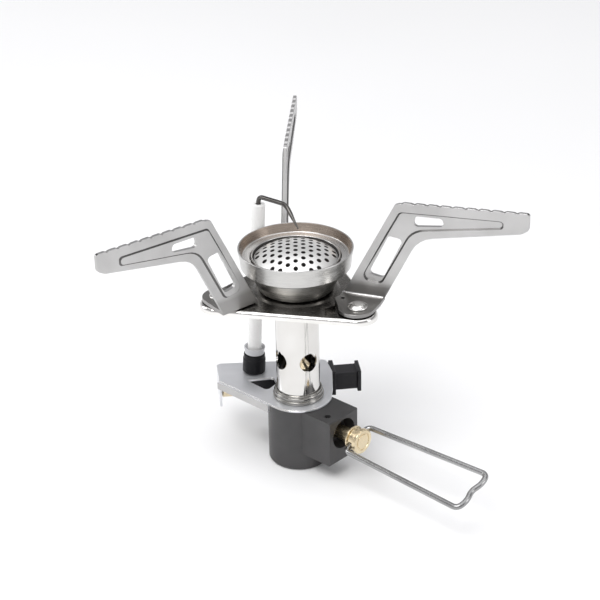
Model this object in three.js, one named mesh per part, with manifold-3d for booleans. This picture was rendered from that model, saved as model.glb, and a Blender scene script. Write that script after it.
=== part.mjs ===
// Folding canister stove: a gas valve body, a burner on a short tube, three folding pot arms and a
// push-button piezo igniter. Millimetres, +Z up. The origin is the centre of the valve body's
// bottom face. +X runs along the valve spindle, towards the wire handle.
import * as THREE from 'three';
import { mergeVertices } from 'three/addons/utils/BufferGeometryUtils.js';
import Module from 'manifold-3d';

const wasm = await Module();
wasm.setup();

// ---- Driving dimensions ----------------------------------------------------------------------
const GAP = 0.1; // between fixed faces that touch on the real stove
const RUN = 0.3; // between faces that move past each other

const BODY_R = 11; // valve body cylinder
const BODY_TOP = 24.2;
const BLOCK_END = 21.3; // flat face that the spindle comes out of
const BLOCK_HALF = 7.4;
const BLOCK_FLOOR = 7;
const SOCKET_R = 5.55; // 7/16-28 UNEF canister thread, drawn as a plain bore
const SOCKET_DEPTH = 8.5;

const SPINDLE_Z = 17.4;
const SPINDLE_BORE_R = 5.6;
const SPINDLE_SHAFT_R = 2.5;
const HEAD_R = 4.5;
const HEAD_START = 25.6;
const HEAD_END = 30.2;
const HANDLE_TURN = 19; // degrees the handle stands rotated about the spindle
const HANDLE_PIVOT = 27.3;
const HANDLE_END = 80;
const HANDLE_WIRE_R = 1;
const HANDLE_HALF_NEAR = 6.4;
const HANDLE_HALF_FAR = 8.4;

const BRACKET_FLOOR = BODY_TOP + GAP;
const BRACKET_T = 0.8;
const BRACKET_TOP = BRACKET_FLOOR + BRACKET_T;
const IGNITER_TURN = 50; // degrees from the spindle to the igniter's axis
const IGNITER_OFFSET = 20; // from the burner axis to the igniter's axis
const IGNITER_Z = 19.2;
const TAB_X = -26.9; // outer face of the bracket's end tab, along the igniter's axis

const TUBE_R = 7.65;
const TUBE_WALL = 0.6;
const TUBE_TOP = 67.5;
const AIR_HOLE_R = 3.5;
const AIR_HOLE_Z = 41.2;
const AIR_HOLE_TURN = -15;

const PLATE_TOP = 67.2; // three-cornered support plate
const PLATE_T = 0.8;
const PLATE_SKIRT = 2.2;
const HINGE_R = 27.5; // burner axis to arm rivet
const CORNERS = { right: 1, rear: 121, left: 241 }; // degrees from the spindle to each arm rivet
const LOBE_R = 6.9;

const BOWL_FLOOR = 67.8;
const BOWL_TOP = 76.1;
const LEDGE_Z = 79.5;
const RIM_R = 19.85;
const RIM_Z = 82.9;
const CAP_R = 14.4;
const CAP_EDGE_Z = 79;
const CAP_RISE = 4.2;
const CAP_HOLE_R = 0.8;
const CAP_PITCH = 3.03;
const CAP_TURN = 13;

const ARM_T = 1.3;
const ARM_OFFSET = 10.3; // rivet axis to the outer face of the upright plate
const ARM_OPEN = 22.5; // degrees from the corner direction to an opened arm
const ARM_REST_REAR = 7.3; // the rear arm stands part folded
const FOOT_LOW = 0.45; // above the support plate
const FOOT_TOP = FOOT_LOW + ARM_T;
const TOOTH_PITCH = 4.3;
const TOOTH_COUNT = 10;
const TOOTH_RISE = 0.45;
const EMBOSS = 0.5;

const ELECTRODE_FOOT = new THREE.Vector3(-23.6, 1.8, 26);
const ELECTRODE_HEAD = new THREE.Vector3(-22.4, 5.4, 90.6);
const CERAMIC_R = 2.45;
const CERAMIC_BORE_R = 1.05;
const WIRE_R = 0.75;
const BOOT_R = 4.1;

// ---- Small tools -----------------------------------------------------------------------------
const radians = THREE.MathUtils.degToRad;
const v2 = (x, y) => new THREE.Vector2(x, y);
const v3 = (x, y, z) => new THREE.Vector3(x, y, z);

function finish(color, roughness, metalness) {
  return new THREE.MeshStandardMaterial({ color, roughness, metalness });
}

function named(name, geometry, material) {
  const mesh = new THREE.Mesh(geometry, material);
  mesh.name = name;
  return mesh;
}

function signedVolume(positions, corners) {
  const [a, b, c] = [v3(0, 0, 0), v3(0, 0, 0), v3(0, 0, 0)];
  let sum = 0;
  for (let i = 0; i < corners.length; i += 3) {
    a.fromArray(positions, 3 * corners[i]);
    b.fromArray(positions, 3 * corners[i + 1]);
    c.fromArray(positions, 3 * corners[i + 2]);
    sum += a.dot(b.cross(c));
  }
  return sum / 6;
}

// A closed geometry as a manifold solid: shared corners merged, faces turned outwards.
function solid(geometry) {
  const loose = geometry.index ? geometry.toNonIndexed() : geometry;
  const bare = new THREE.BufferGeometry();
  bare.setAttribute('position', loose.getAttribute('position').clone());
  const merged = mergeVertices(bare, 1e-4);
  const positions = merged.getAttribute('position').array;
  const corners = [];
  const all = merged.index.array;
  for (let i = 0; i < all.length; i += 3) {
    const [a, b, c] = [all[i], all[i + 1], all[i + 2]];
    if (a !== b && b !== c && c !== a) corners.push(a, b, c);
  }
  if (signedVolume(positions, corners) < 0) corners.reverse();
  const mesh = new wasm.Mesh({
    numProp: 3,
    vertProperties: new Float32Array(positions),
    triVerts: new Uint32Array(corners),
  });
  return new wasm.Manifold(mesh);
}

function geometryOf(manifold) {
  const mesh = manifold.getMesh();
  const geometry = new THREE.BufferGeometry();
  const positions = new THREE.BufferAttribute(new Float32Array(mesh.vertProperties), 3);
  geometry.setAttribute('position', positions);
  geometry.setIndex(new THREE.BufferAttribute(new Uint32Array(mesh.triVerts), 1));
  geometry.computeVertexNormals();
  return geometry;
}

// base with every geometry in `added` joined on and every one in `removed` cut away.
function carve(base, removed = [], added = []) {
  let result = solid(base);
  for (const piece of added) result = result.add(solid(piece));
  for (const piece of removed) result = result.subtract(solid(piece));
  return geometryOf(result);
}

function outline(points) {
  return new THREE.Shape(points.map(([x, y]) => v2(x, y)));
}

// A flat shape pushed up from z = low by depth.
function slab(shape, low, depth, curveSegments = 10) {
  const settings = { depth, bevelEnabled: false, curveSegments };
  return new THREE.ExtrudeGeometry(shape, settings).translate(0, 0, low);
}

// A profile of [radius, height] points turned about +Z. It closes on itself or meets the axis.
function turned(points, segments = 36) {
  const profile = points.map(([r, z]) => v2(r, z));
  const onAxis = profile[0].x === 0 && profile[profile.length - 1].x === 0;
  if (!onAxis) profile.push(profile[0].clone());
  return new THREE.LatheGeometry(profile, segments).rotateX(Math.PI / 2);
}

// A round bar along +Z from low to high.
function post(r, low, high, segments = 20) {
  return turned([[0, low], [r, low], [r, high], [0, high]], segments);
}

// A round bar along +X, its axis at height z and sideways place y.
function bar(r, from, to, y = 0, z = 0, segments = 20) {
  return post(r, from, to, segments).rotateY(Math.PI / 2).translate(0, y, z);
}

function box(low, high) {
  const size = high.map((value, i) => value - low[i]);
  const middle = high.map((value, i) => (value + low[i]) / 2);
  return new THREE.BoxGeometry(...size).translate(...middle);
}

// Straight lines from point to point, with every corner between them rounded.
function roundedRoute(points, radius) {
  const route = new THREE.CurvePath();
  let start = points[0];
  for (let i = 1; i < points.length - 1; i += 1) {
    const corner = points[i];
    const before = corner.clone().sub(start).normalize().multiplyScalar(-radius).add(corner);
    const after = points[i + 1].clone().sub(corner).normalize().multiplyScalar(radius).add(corner);
    route.add(new THREE.LineCurve3(start, before));
    route.add(new THREE.QuadraticBezierCurve3(before, corner, after));
    start = after;
  }
  route.add(new THREE.LineCurve3(start, points[points.length - 1]));
  return route;
}

function disc(r, sides) {
  const points = [];
  for (let i = 0; i < sides; i += 1) {
    const angle = (2 * Math.PI * i) / sides;
    points.push([r * Math.cos(angle), r * Math.sin(angle)]);
  }
  return outline(points);
}

function wireAlong(curve, r, steps, sides = 10) {
  const settings = { extrudePath: curve, steps, bevelEnabled: false };
  return new THREE.ExtrudeGeometry(disc(r, sides), settings);
}

function coil(r, wire, low, high, turns) {
  class Helix extends THREE.Curve {
    getPoint(t, target = v3(0, 0, 0)) {
      const angle = 2 * Math.PI * turns * t;
      return target.set(r * Math.cos(angle), r * Math.sin(angle), low + (high - low) * t);
    }
  }
  return wireAlong(new Helix(), wire, 10 * turns, 5);
}

// ---- Finishes --------------------------------------------------------------------------------
const anodised = () => finish(0x55565a, 0.45, 0.85);
const brass = () => finish(0xcdb48a, 0.35, 0.9);
const polished = () => finish(0xd8d6d2, 0.15, 1);
const satin = () => finish(0xb9b9b9, 0.42, 0.95);
const springSteel = () => finish(0x8c8c8e, 0.35, 0.9);
const heatTinted = () => finish(0xb6a99c, 0.3, 0.95);
const blackPlastic = () => finish(0x2b2c2f, 0.55, 0);
const rubber = () => finish(0x1b1c1f, 0.7, 0);
const silicone = () => finish(0xc9cbd0, 0.4, 0);
const ceramic = () => finish(0xeceae4, 0.35, 0);

// ---- Valve body and what is screwed into it --------------------------------------------------
function valveBodyGeometry() {
  const cylinder = turned([[0, 0], [BODY_R - 1.2, 0], [BODY_R - 0.35, 0.35], [BODY_R, 1.2],
    [BODY_R, BODY_TOP - 0.3], [BODY_R - 0.3, BODY_TOP], [0, BODY_TOP]]);
  const block = box([0, -BLOCK_HALF, BLOCK_FLOOR], [BLOCK_END, BLOCK_HALF, BODY_TOP]);
  const socket = post(SOCKET_R, -1, SOCKET_DEPTH, 24);
  const pinRecess = post(3.4, SOCKET_DEPTH - 1, 9.6);
  const filterRecess = post(2.9, 9, 11.5);
  const feed = post(0.8, 11, SPINDLE_Z - 1, 12).translate(2.1, 0, 0);
  const seat = bar(1.6, 1, 5, 0, SPINDLE_Z);
  const stem = bar(4, 4, 17, 0, SPINDLE_Z);
  const mouth = bar(SPINDLE_BORE_R, 16.4, BLOCK_END + 1, 0, SPINDLE_Z, 28);
  const crossing = bar(0.6, -0.5, 1.5, 0, SPINDLE_Z, 12);
  const riser = post(0.9, SPINDLE_Z - 0.9, 20.5, 12);
  const jetSeat = post(3.2, 20, BODY_TOP + 1);
  const pinHole = post(1.15, 9.4, BODY_TOP + 1, 16).translate(17.2, -3.8, 0);
  const passages = [socket, pinRecess, filterRecess, feed, seat, crossing, riser, jetSeat];
  return carve(cylinder, [...passages, stem, mouth, pinHole], [block]);
}

function depressorGeometry() {
  return turned([[0, 3.5], [0.9, 3.5], [1.1, 4], [1.1, SOCKET_DEPTH], [3.1, SOCKET_DEPTH], [3.1, 9.3],
    [0, 9.3]], 20);
}

function canisterRingGeometry() {
  const section = [];
  for (let i = 0; i < 8; i += 1) {
    const angle = (Math.PI * i) / 4;
    section.push([4.4 + 0.85 * Math.cos(angle), 7.5 + 0.85 * Math.sin(angle)]);
  }
  return turned(section, 20);
}

function jetGeometry() {
  const hex = 4.7;
  const cone = turned([[0, 20.3], [2.9, 20.3], [2.9, 25.9], [4.4, 26.4], [5.2, 27.4], [5.2, 36],
    [2.6, 39], [2, 41], [0, 41]], 18);
  const prism = slab(disc(hex, 6), 20, 30);
  const orifice = post(0.5, 19, 42, 8);
  return geometryOf(solid(cone).intersect(solid(prism)).subtract(solid(orifice)));
}

function valveGroup() {
  const group = new THREE.Group();
  group.add(named('valve_body', valveBodyGeometry(), anodised()));
  group.add(named('canister_oring', canisterRingGeometry(), rubber()));
  group.add(named('valve_depressor_pin', depressorGeometry(), brass()));
  group.add(named('gas_filter', post(2.6, 9.7, 11.3, 20), springSteel()));
  group.add(named('jet_nozzle', jetGeometry(), brass()));
  const pin = post(0.9, 9.6, BODY_TOP - 0.9, 12).translate(17.2, -3.8, 0);
  group.add(named('spindle_retaining_pin', pin, springSteel()));
  return group;
}

// ---- Spindle and wire handle, both drawn along +Z and laid over to +X ------------------------
function spindleGeometry() {
  const stemR = 3.6;
  const neckR = 3.5;
  const stem = turned([[0, 1.7], [0.5, 1.7], [1.3, 3.2], [1.3, 5], [stemR, 5.4], [stemR, 11.8],
    [2.7, 11.8], [2.7, 13.6], [stemR, 13.6], [stemR, 15], [SPINDLE_SHAFT_R, 15],
    [SPINDLE_SHAFT_R, HEAD_START], [HEAD_R - 0.3, HEAD_START], [HEAD_R, HEAD_START + 0.3],
    [HEAD_R, 26.2], [neckR, 26.4], [neckR, 28.6], [HEAD_R, 28.9], [HEAD_R, HEAD_END - 0.5],
    [HEAD_R - 0.5, HEAD_END], [0, HEAD_END]], 20);
  const crossHole = bar(HANDLE_WIRE_R + RUN, -8, 8, 0, HANDLE_PIVOT, 16);
  return carve(stem, [crossHole]);
}

function spindleRingGeometry() {
  return turned([[2.9, 11.95], [3.75, 11.95], [3.75, 13.45], [2.9, 13.45]], 24);
}

function handleGeometry() {
  const near = HANDLE_PIVOT;
  const far = HANDLE_END - HANDLE_WIRE_R;
  const tuck = 0.9; // the two wire ends stay this far from the middle of the cross hole
  const corners = [v3(tuck, 0, near), v3(HANDLE_HALF_NEAR, 0, near), v3(HANDLE_HALF_FAR, 0, far - 1),
    v3(3.4, 0, far), v3(0, 0, far - 1), v3(-3.4, 0, far), v3(-HANDLE_HALF_FAR, 0, far - 1),
    v3(-HANDLE_HALF_NEAR, 0, near), v3(-tuck, 0, near)];
  return wireAlong(roundedRoute(corners, 1.6), HANDLE_WIRE_R, 72, 8);
}

function spindleGroup() {
  // Local +Z becomes world +X and local +X becomes the handle's cross axis.
  const group = new THREE.Group();
  group.position.z = SPINDLE_Z;
  const cross = v3(0, Math.cos(radians(HANDLE_TURN)), Math.sin(radians(HANDLE_TURN)));
  const along = v3(1, 0, 0);
  const basis = new THREE.Matrix4().makeBasis(cross, along.clone().cross(cross), along);
  group.quaternion.setFromRotationMatrix(basis);
  group.add(named('valve_spindle', spindleGeometry(), brass()));
  group.add(named('spindle_oring', spindleRingGeometry(), rubber()));
  group.add(named('wire_handle', handleGeometry(), springSteel()));
  return group;
}

// ---- Bracket and burner tube -----------------------------------------------------------------
function bracketGeometry() {
  const edge = BODY_R + 0.15; // inner face of the front flange, beside the valve body
  const outer = edge + BRACKET_T;
  const plan = new THREE.Shape();
  plan.moveTo(-28, -outer);
  plan.lineTo(0, -outer);
  plan.absarc(0, 0, outer, radians(-90), radians(28), false);
  plan.lineTo(6.4, 11);
  plan.lineTo(-2, 20.1);
  plan.lineTo(-9.7, 25.2);
  plan.lineTo(-37.4, -3);
  plan.closePath();
  const sheet = slab(plan, BRACKET_FLOOR, BRACKET_T, 16);
  const flangePlan = outline([[-28, BRACKET_TOP], [-3, BRACKET_TOP], [-3, 22], [-28, 22.2]]);
  const flange = slab(flangePlan, 0, BRACKET_T).rotateX(Math.PI / 2).translate(0, -edge, 0);
  const tab = box([TAB_X, 14.6, 14], [TAB_X + BRACKET_T, 26.4, BRACKET_TOP]);
  tab.rotateZ(radians(IGNITER_TURN));
  const tubeHole = post(TUBE_R - 2.4, 20, 30, 32);
  const wireHole = post(2.2, 20, 30, 16).translate(ELECTRODE_FOOT.x, ELECTRODE_FOOT.y, 0);
  const drop = outline([[-20.6, -4.8], [-19.9, -5], [-11.6, -5.2], [-10.5, -4.5], [-11.2, 0.1],
    [-12.2, 1.1], [-14.4, 2.3], [-15.6, 1.8]]);
  const dropHole = slab(drop, 20, 10);
  return carve(sheet, [tubeHole, wireHole, dropHole], [flange, tab]);
}

function tubeGeometry() {
  const inner = TUBE_R - TUBE_WALL;
  const wall = turned([[TUBE_R, BRACKET_TOP + GAP], [TUBE_R, TUBE_TOP], [inner, TUBE_TOP],
    [inner, BRACKET_TOP + GAP]], 40);
  const holes = [];
  for (let i = 0; i < 4; i += 1) {
    const turn = radians(AIR_HOLE_TURN + 90 * i);
    holes.push(bar(AIR_HOLE_R, 3, TUBE_R + 2, 0, AIR_HOLE_Z, 16).rotateZ(turn));
  }
  return carve(wall, holes);
}

function collarGeometry() {
  const inner = TUBE_R + GAP + 0.05;
  const low = BRACKET_TOP + GAP;
  return turned([[inner, low], [8.8, low], [8.8, low + 1.4], [8.3, low + 1.6], [8.4, low + 3],
    [8.1, low + 3.4], [inner, low + 3.4]], 40);
}

// ---- Support plate with its lanced arm stops -------------------------------------------------
function roundedTriangle(reach, lobe) {
  const shape = new THREE.Shape();
  for (const corner of Object.values(CORNERS)) {
    const turn = radians(corner);
    const [x, y] = [reach * Math.cos(turn), reach * Math.sin(turn)];
    shape.absarc(x, y, lobe, turn - radians(60), turn + radians(60), false);
  }
  shape.closePath();
  return shape;
}

function electrodeAt(z) {
  const t = (z - ELECTRODE_FOOT.z) / (ELECTRODE_HEAD.z - ELECTRODE_FOOT.z);
  return ELECTRODE_FOOT.clone().lerp(ELECTRODE_HEAD, t);
}

function supportPlateGeometry() {
  const skirtFloor = PLATE_TOP - PLATE_SKIRT;
  const ear = electrodeAt(PLATE_TOP);
  const blank = slab(roundedTriangle(HINGE_R, LOBE_R), skirtFloor, PLATE_SKIRT, 8);
  const earOuter = post(4.6, PLATE_TOP - PLATE_T, PLATE_TOP, 24).translate(ear.x, ear.y, 0);
  const hollow = slab(roundedTriangle(HINGE_R, LOBE_R - PLATE_T), skirtFloor - 1,
    PLATE_SKIRT - PLATE_T + 1, 8);
  const raised = turned([[0, PLATE_TOP - 0.5], [15, PLATE_TOP - 0.5], [15, PLATE_TOP],
    [14, PLATE_TOP + 0.4], [0, PLATE_TOP + 0.4]], 28);
  const cuts = [hollow, post(TUBE_R + 0.25, 60, 70, 40)];
  cuts.push(post(CERAMIC_R + 0.3, 60, 70, 24).translate(ear.x, ear.y, 0));
  const joins = [earOuter, raised];
  for (const corner of Object.values(CORNERS).map(radians)) {
    cuts.push(post(1.9, 60, 70, 16).translate(HINGE_R, 0, 0).rotateZ(corner));
    const stop = box([-1.9, -0.35, -0.4], [1.9, 0.35, 1.5]).rotateZ(radians(52));
    stop.translate(-9, -2, PLATE_TOP).rotateZ(radians(ARM_OPEN));
    joins.push(stop.translate(HINGE_R, 0, 0).rotateZ(corner));
  }
  return carve(blank, cuts, joins);
}

// ---- Folding arms, drawn about their rivet: +X outwards along the arm, +Z up from the plate ---
function armProfile() {
  const [cornerX, cornerZ] = [10.4, 37];
  const [tipX, tipZ] = [55.3, 38.7];
  const slope = (tipZ - cornerZ) / (tipX - cornerX);
  const edge = (x) => cornerZ + slope * (x - cornerX);
  const shape = new THREE.Shape();
  shape.moveTo(-8.4, FOOT_LOW);
  shape.lineTo(cornerX - 0.3, cornerZ - 0.5);
  shape.lineTo(cornerX + 0.3, cornerZ);
  for (let i = 0; i < TOOTH_COUNT; i += 1) {
    const start = tipX - TOOTH_PITCH * (TOOTH_COUNT - i);
    const crest = edge(start + TOOTH_PITCH / 2) + TOOTH_RISE;
    shape.lineTo(start, edge(start));
    shape.lineTo(start + 1, crest);
    shape.lineTo(start + 3.3, crest);
  }
  shape.lineTo(tipX, tipZ - 0.2);
  shape.lineTo(tipX, 34.6);
  shape.quadraticCurveTo(tipX, 32.1, 52.4, 31.6);
  shape.lineTo(23, 26);
  shape.quadraticCurveTo(18.2, 25.1, 16, 20.6);
  shape.lineTo(6.4, 1);
  shape.lineTo(6.4, FOOT_LOW);
  shape.closePath();
  shape.holes.push(slot([[0.8, 10], [6.1, 9], [13, 24.1], [7.8, 24.8]], 1.2));
  shape.holes.push(slot([[16.2, 29.3], [27, 30.6], [26.2, 33.4], [17, 33.2]], 1.2));
  return shape;
}

// A rounded four-cornered hole.
function slot(corners, radius) {
  const hole = new THREE.Path();
  const count = corners.length;
  corners.forEach(([x, y], i) => {
    const here = v2(x, y);
    const last = v2(...corners[(i + count - 1) % count]).sub(here).setLength(radius).add(here);
    const next = v2(...corners[(i + 1) % count]).sub(here).setLength(radius).add(here);
    if (i === 0) hole.moveTo(last.x, last.y);
    else hole.lineTo(last.x, last.y);
    hole.quadraticCurveTo(here.x, here.y, next.x, next.y);
  });
  hole.closePath();
  return hole;
}

function embossProfile(inset) {
  const e = inset;
  return outline([[-1.2 + e, 8.2 + e], [4.4 - e, 6.9 + e], [6.4 - e, 7.8 + e], [13.4 - e, 21.6 + e],
    [16.6 - e, 25.6 + e], [21 - e, 28 + e], [46.3 - e, 32.6 + e], [47 - e, 34.2],
    [46.3 - e, 35.4 - e], [11.8 + e, 34.2 - e]]);
}

function upright(shape, low, high) {
  return slab(shape, 0, high - low, 4).rotateX(Math.PI / 2).translate(0, high, 0);
}

function armGeometry() {
  const inner = ARM_OFFSET - ARM_T;
  const profile = armProfile();
  const holesOnly = profile.holes.map((hole) => new THREE.Shape(hole.getPoints(4)));
  const foot = new THREE.Shape();
  foot.moveTo(6.4, ARM_OFFSET);
  foot.lineTo(-8.4, ARM_OFFSET);
  foot.lineTo(-8.4, 6.5);
  foot.lineTo(-9.6, 4.2);
  foot.lineTo(-6.8, -0.4);
  foot.absarc(-0.4, 0, 6.2, radians(183), radians(360), false);
  foot.lineTo(6.6, 7.5);
  foot.closePath();
  const raised = upright(embossProfile(0), ARM_OFFSET - 0.2, ARM_OFFSET + EMBOSS);
  const cuts = [upright(embossProfile(EMBOSS), inner - 1, inner + EMBOSS)];
  holesOnly.forEach((hole) => cuts.push(upright(hole, inner - 1, ARM_OFFSET + 1)));
  cuts.push(post(1.9, -1, 3, 20));
  cuts.push(post(0.7, -1, 3, 10).translate(-6.7, 4.8, 0));
  return carve(upright(profile, inner, ARM_OFFSET), cuts, [slab(foot, FOOT_LOW, ARM_T, 8), raised]);
}

function rivetGeometry() {
  const top = FOOT_TOP + GAP;
  const under = -PLATE_T - GAP;
  return turned([[0, under - 0.9], [2, under - 0.9], [2.6, under - 0.4], [2.6, under], [1.6, under],
    [1.6, top], [3.5, top], [3.2, top + 0.6], [2, top + 1.1], [0, top + 1.2]], 16);
}

function armGroup(side, open) {
  const corner = CORNERS[side];
  const group = new THREE.Group();
  group.position.set(HINGE_R, 0, PLATE_TOP).applyAxisAngle(v3(0, 0, 1), radians(corner));
  const washer = turned([[1.9, GAP], [4.4, GAP], [4.4, FOOT_LOW - GAP], [1.9, FOOT_LOW - GAP]], 16);
  const arm = named(`pot_arm_${side}`, armGeometry(), satin());
  arm.rotation.z = radians(corner + open);
  group.add(arm);
  group.add(named(`arm_rivet_${side}`, rivetGeometry(), polished()));
  group.add(named(`arm_washer_${side}`, washer, springSteel()));
  return group;
}

// ---- Burner ----------------------------------------------------------------------------------
function bowlGeometry() {
  return turned([[5.2, BOWL_FLOOR], [12.2, BOWL_FLOOR], [13, BOWL_FLOOR + 0.5], [14.6, 71.6],
    [15.9, BOWL_TOP], [15.2, BOWL_TOP], [13.9, 71.8], [12.4, BOWL_FLOOR + 1],
    [11.9, BOWL_FLOOR + 0.7], [5.2, BOWL_FLOOR + 0.7]]);
}

function windCupGeometry() {
  return turned([[16.1, BOWL_TOP + GAP], [18.6, BOWL_TOP + GAP], [19, 76.6], [19.35, 80], [RIM_R, 82.6],
    [RIM_R, RIM_Z], [RIM_R - 0.5, RIM_Z], [18.3, LEDGE_Z + 0.4], [15.7, LEDGE_Z],
    [15.7, LEDGE_Z - 0.6], [17.9, LEDGE_Z - 0.3], [17.9, 76.9], [16.1, 76.9]]);
}

function flameRingGeometry() {
  return turned([[14.8, 76.3], [15.4, 76.3], [15.4, 79.9], [15.2, 80.1], [14.9, 80.1], [14.8, 79.9]]);
}

function capHeight(r) {
  return CAP_EDGE_Z + CAP_RISE * (1 - (r / CAP_R) ** 2.7);
}

function flameCapGeometry() {
  const sheet = 0.6;
  const rings = [0, 5, 8, 10.5, 12.8, CAP_R];
  const outside = rings.map((r) => [r, capHeight(r)]);
  const inside = rings.slice(0, -1).map((r) => [r * 0.97, capHeight(r) - sheet]);
  const skirt = [[CAP_R, 76.8], [CAP_R - sheet, 76.8], [CAP_R - sheet, CAP_EDGE_Z - sheet]];
  const dome = turned([...inside, ...skirt.reverse(), ...outside.reverse()], 28);
  const drills = [];
  const axis = (i, j) => v2(CAP_PITCH * (i + j / 2), (CAP_PITCH * j * Math.sqrt(3)) / 2);
  for (let i = -5; i <= 5; i += 1) {
    for (let j = -5; j <= 5; j += 1) {
      const place = axis(i, j).rotateAround(v2(0, 0), radians(CAP_TURN));
      if (place.length() < CAP_R - 1.5) {
        drills.push(post(CAP_HOLE_R, 70, 90, 5).translate(place.x, place.y, 0));
      }
    }
  }
  return carve(dome, drills);
}

function burnerGroup() {
  const group = new THREE.Group();
  group.add(named('burner_bowl', bowlGeometry(), polished()));
  group.add(named('wind_cup', windCupGeometry(), heatTinted()));
  group.add(named('flame_ring', flameRingGeometry(), polished()));
  group.add(named('flame_cap', flameCapGeometry(), polished()));
  return group;
}

// ---- Spark electrode -------------------------------------------------------------------------
function alongElectrode(geometry) {
  const lean = ELECTRODE_HEAD.clone().sub(ELECTRODE_FOOT).normalize();
  const turn = new THREE.Quaternion().setFromUnitVectors(v3(0, 0, 1), lean);
  return geometry.applyQuaternion(turn).translate(...ELECTRODE_FOOT.toArray());
}

function electrodeWireGeometry() {
  const lean = ELECTRODE_HEAD.clone().sub(ELECTRODE_FOOT).normalize();
  const top = ELECTRODE_HEAD.clone().addScaledVector(lean, 2.7);
  const foot = ELECTRODE_HEAD.clone().addScaledVector(lean, -6);
  const points = [foot, top, v3(-8.9, 5, 94.3), v3(-1.4, 3, 88.1)];
  return wireAlong(roundedRoute(points, 1.6), WIRE_R, 30, 8);
}

function electrodeGroup() {
  const group = new THREE.Group();
  const length = ELECTRODE_HEAD.distanceTo(ELECTRODE_FOOT);
  const rod = turned([[CERAMIC_BORE_R, 2], [CERAMIC_R, 2], [CERAMIC_R, length - 0.3],
    [CERAMIC_R - 0.3, length], [CERAMIC_BORE_R, length]], 24);
  const inner = CERAMIC_R + 0.1;
  const boot = turned([[1.3, -0.6], [BOOT_R, -0.6], [BOOT_R, 4.6], [3.85, 4.8], [3.85, 6.5],
    [inner, 6.5], [inner, 1.7], [1.3, 1.7]], 24);
  const sleeve = turned([[inner, 6.6], [3.5, 6.6], [3.85, 9.1], [3.55, 9.2], [2.9, 8.2],
    [inner, 8.1]], 24);
  group.add(named('electrode_ceramic', alongElectrode(rod), ceramic()));
  group.add(named('electrode_boot', alongElectrode(boot), rubber()));
  group.add(named('electrode_sleeve', alongElectrode(sleeve), silicone()));
  group.add(named('electrode_wire', electrodeWireGeometry(), springSteel()));
  return group;
}

// ---- Piezo igniter, drawn along +X and turned to its place under the bracket -----------------
function square(halfY, halfZ, from, to) {
  const low = [from, IGNITER_OFFSET - halfY, IGNITER_Z - halfZ];
  return box(low, [to, IGNITER_OFFSET + halfY, IGNITER_Z + halfZ]);
}

function igniterBar(r, from, to, segments = 20) {
  return bar(r, from, to, IGNITER_OFFSET, IGNITER_Z, segments);
}

function housingGeometry() {
  const shell = square(4.2, 4.3, -17.6, 14.2);
  const flange = square(4.6, 4.85, 14, 15.6);
  return carve(shell, [square(3.65, 3.65, -9, 16), igniterBar(2.8, -19, -8)], [flange]);
}

function buttonGeometry() {
  const shaft = square(3.4, 3.4, 4, 23.8);
  const cap = square(4.1, 4.25, 23.6, 25);
  return carve(shaft, [igniterBar(2.9, 3, 14)], [cap]);
}

function layAlongIgniter(geometry) {
  return geometry.rotateY(Math.PI / 2).translate(0, IGNITER_OFFSET, IGNITER_Z);
}

function terminalGeometry() {
  const low = IGNITER_Z + 4.3 + GAP;
  const ferrule = turned([[0, low], [1.5, low], [1.5, BRACKET_FLOOR], [1, BRACKET_TOP],
    [1, 27.7], [0, 27.7]], 12);
  return ferrule.translate(ELECTRODE_FOOT.x, ELECTRODE_FOOT.y, 0);
}

function igniterGroup() {
  const group = new THREE.Group();
  group.rotation.z = radians(IGNITER_TURN);
  const cup = carve(igniterBar(3.9, -25.8, -17.8, 24), [igniterBar(3.2, -25, -17, 20)]);
  const hammerSpring = layAlongIgniter(coil(1.3, 0.25, 0.6, 11.4, 4));
  const buttonSpring = layAlongIgniter(coil(2.3, 0.3, -8.4, 13.4, 5));
  group.add(named('igniter_housing', housingGeometry(), blackPlastic()));
  group.add(named('igniter_end_cap', cup, brass()));
  group.add(named('piezo_crystal', igniterBar(2.4, -24.8, -9.4), ceramic()));
  group.add(named('igniter_button', buttonGeometry(), blackPlastic()));
  group.add(named('igniter_hammer', igniterBar(1.5, -6.5, 0.2, 16), springSteel()));
  group.add(named('hammer_spring', hammerSpring, springSteel()));
  group.add(named('button_spring', buttonSpring, springSteel()));
  return group;
}

// ---- The whole stove -------------------------------------------------------------------------
const stove = new THREE.Group();
stove.add(valveGroup());
stove.add(spindleGroup());
stove.add(named('igniter_bracket', bracketGeometry(), polished()));
stove.add(named('tube_collar', collarGeometry(), polished()));
stove.add(named('burner_tube', tubeGeometry(), polished()));
stove.add(named('support_plate', supportPlateGeometry(), polished()));
stove.add(armGroup('right', ARM_OPEN));
stove.add(armGroup('rear', ARM_REST_REAR));
stove.add(armGroup('left', ARM_OPEN));
stove.add(burnerGroup());
stove.add(electrodeGroup());
stove.add(igniterGroup());
stove.add(named('lead_terminal', terminalGeometry(), brass()));

export default stove;
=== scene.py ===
"""Looks for a folding canister stove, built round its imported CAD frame.

Shapes are drawn in millimetres, with the origin in the middle of the valve body's underside, +Z up
the burner axis and +X out along the valve spindle. piece() brings each one to metres, gives it its
material and joins it to its body.
"""

import math

import bmesh
import bpy
from mathutils import Matrix, Vector


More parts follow.
